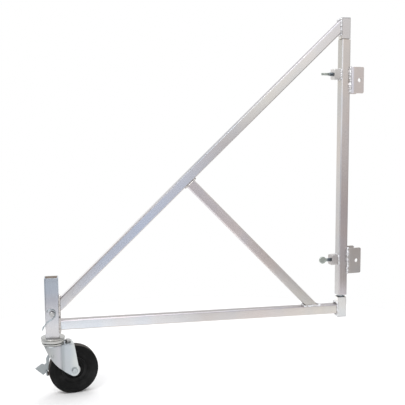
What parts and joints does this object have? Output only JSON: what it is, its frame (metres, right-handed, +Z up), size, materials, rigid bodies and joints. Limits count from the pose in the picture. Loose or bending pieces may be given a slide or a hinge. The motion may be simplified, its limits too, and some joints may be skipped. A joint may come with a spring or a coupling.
{
  "type": "scaffold outrigger with locking swivel caster",
  "caption": "Triangular square-tube scaffold outrigger that swings about a clamp-on mast, with channel brackets, paddle screws and a braked swivel caster.",
  "frame": {"origin": "on the mast's swing axis at floor level, under the mast", "axes": "+Z up along the mast's swing axis, +X from the mast into the open side of the channel brackets, where the scaffold leg stands; the frame reaches back along -X, turned 7.7 degrees"},
  "size_m": [0.8789, 0.1588, 0.9786],
  "materials": {
    "zinc_tube": "satin galvanised tube",
    "zinc_plate": "matt galvanised plate",
    "bright_zinc": "bright zinc plating",
    "bolt_steel": "blue-passivated zinc",
    "dark_steel": "dark oiled steel",
    "spring_steel": "plated spring wire",
    "black_rubber": "matt black rubber",
    "black_core": "moulded black core",
    "bronze_bush": "sintered bronze",
    "grey_nylon": "grey nylon"
  },
  "bodies": {
    "mast": {"mast_tube": "zinc_tube", "mast_top_plug": "zinc_tube", "mast_bottom_plug": "zinc_tube", "upper_pivot_pin": "bolt_steel", "lower_pivot_pin": "bolt_steel", "upper_pivot_ring": "dark_steel", "lower_pivot_ring": "dark_steel", "upper_thrust_washer": "bronze_bush", "lower_thrust_washer": "bolt_steel", "upper_channel": "zinc_plate", "lower_channel": "zinc_plate", "upper_nut_block": "zinc_plate", "lower_nut_block": "zinc_plate"},
    "swing_frame": {"diagonal_tube": "zinc_tube", "bottom_tube": "zinc_tube", "brace_tube": "zinc_tube", "top_knuckle": "zinc_tube", "bottom_knuckle": "zinc_tube", "top_knuckle_bush": "bronze_bush", "bottom_knuckle_bush": "bronze_bush", "top_end_cap": "grey_nylon", "bottom_end_cap": "grey_nylon", "caster_post": "zinc_tube", "caster_stem": "bright_zinc", "stem_flange": "bright_zinc", "upper_race": "bright_zinc", "king_pin": "bolt_steel", "king_washer": "bright_zinc", "king_nut": "bolt_steel"},
    "lock_pin": {"lock_pin": "bright_zinc"},
    "pin_wire": {"lock_pin_wire": "spring_steel"},
    "upper_pad": {"upper_clamp_pad": "bolt_steel"},
    "upper_screw": {"upper_clamp_screw": "dark_steel"},
    "lower_pad": {"lower_clamp_pad": "bolt_steel"},
    "lower_screw": {"lower_clamp_screw": "dark_steel"},
    "caster_fork": {"fork": "bright_zinc", "lower_race": "bright_zinc", "ball_ring": "dark_steel", "crown_bolt": "bolt_steel", "crown_bolt_washer": "bright_zinc", "crown_bolt_nut": "bolt_steel", "axle_bolt": "bolt_steel", "axle_nut": "bolt_steel", "axle_sleeve": "bolt_steel", "brake_pivot_pin": "bolt_steel", "brake_spring": "spring_steel"},
    "brake": {"brake_lever": "bright_zinc", "brake_shoe": "black_rubber"},
    "wheel": {"tyre": "black_rubber", "wheel_core": "black_core", "wheel_bearing": "dark_steel", "front_dust_ring": "bright_zinc", "back_dust_ring": "bright_zinc"}
  },
  "joints": [
    {"name": "frame_swing", "type": "hinge", "parent": "mast", "child": "swing_frame", "pos_m": [0, 0, 0.55], "axis": [0, 0, 1], "range_deg": [-82, 98]},
    {"name": "caster_swivel", "type": "hinge", "parent": "swing_frame", "child": "caster_fork", "pos_m": [-0.78139, 0.10565, 0.1345], "axis": [0, 0, 1], "continuous": true},
    {"name": "wheel_spin", "type": "hinge", "parent": "caster_fork", "child": "wheel", "pos_m": [-0.7306, 0.10645, 0.0635], "axis": [-0.0157, 0.9999, 0], "continuous": true},
    {"name": "brake_lift", "type": "hinge", "parent": "caster_fork", "child": "brake", "pos_m": [-0.78639, 0.10557, 0.11], "axis": [-0.0157, 0.9999, 0], "range_deg": [0, 25]},
    {"name": "lock_pin_pull", "type": "slide", "parent": "swing_frame", "child": "lock_pin", "axis": [-0.134, -0.991, 0], "range_m": [0, 0.042]},
    {"name": "pin_wire_turn", "type": "hinge", "parent": "lock_pin", "child": "pin_wire", "pos_m": [-0.78139, 0.10565, 0.2171], "axis": [0.134, 0.991, 0], "range_deg": [0, 80]},
    {"name": "upper_pad_advance", "type": "slide", "parent": "mast", "child": "upper_pad", "axis": [1, 0, 0], "range_m": [0, 0.00635]},
    {"name": "upper_screw_turn", "type": "hinge", "parent": "upper_pad", "child": "upper_screw", "pos_m": [0.0168, 0, 0.829], "axis": [1, 0, 0], "range_deg": [0, 1441]},
    {"name": "lower_pad_advance", "type": "slide", "parent": "mast", "child": "lower_pad", "axis": [1, 0, 0], "range_m": [0, 0.00635]},
    {"name": "lower_screw_turn", "type": "hinge", "parent": "lower_pad", "child": "lower_screw", "pos_m": [0.0168, 0, 0.3235], "axis": [1, 0, 0], "range_deg": [0, 1441]}
  ],
  "couplings": [
    {"joint": "upper_screw_turn", "follows": "upper_pad_advance", "rad_per_m": 3957.9},
    {"joint": "lower_screw_turn", "follows": "lower_pad_advance", "rad_per_m": 3957.9}
  ]
}
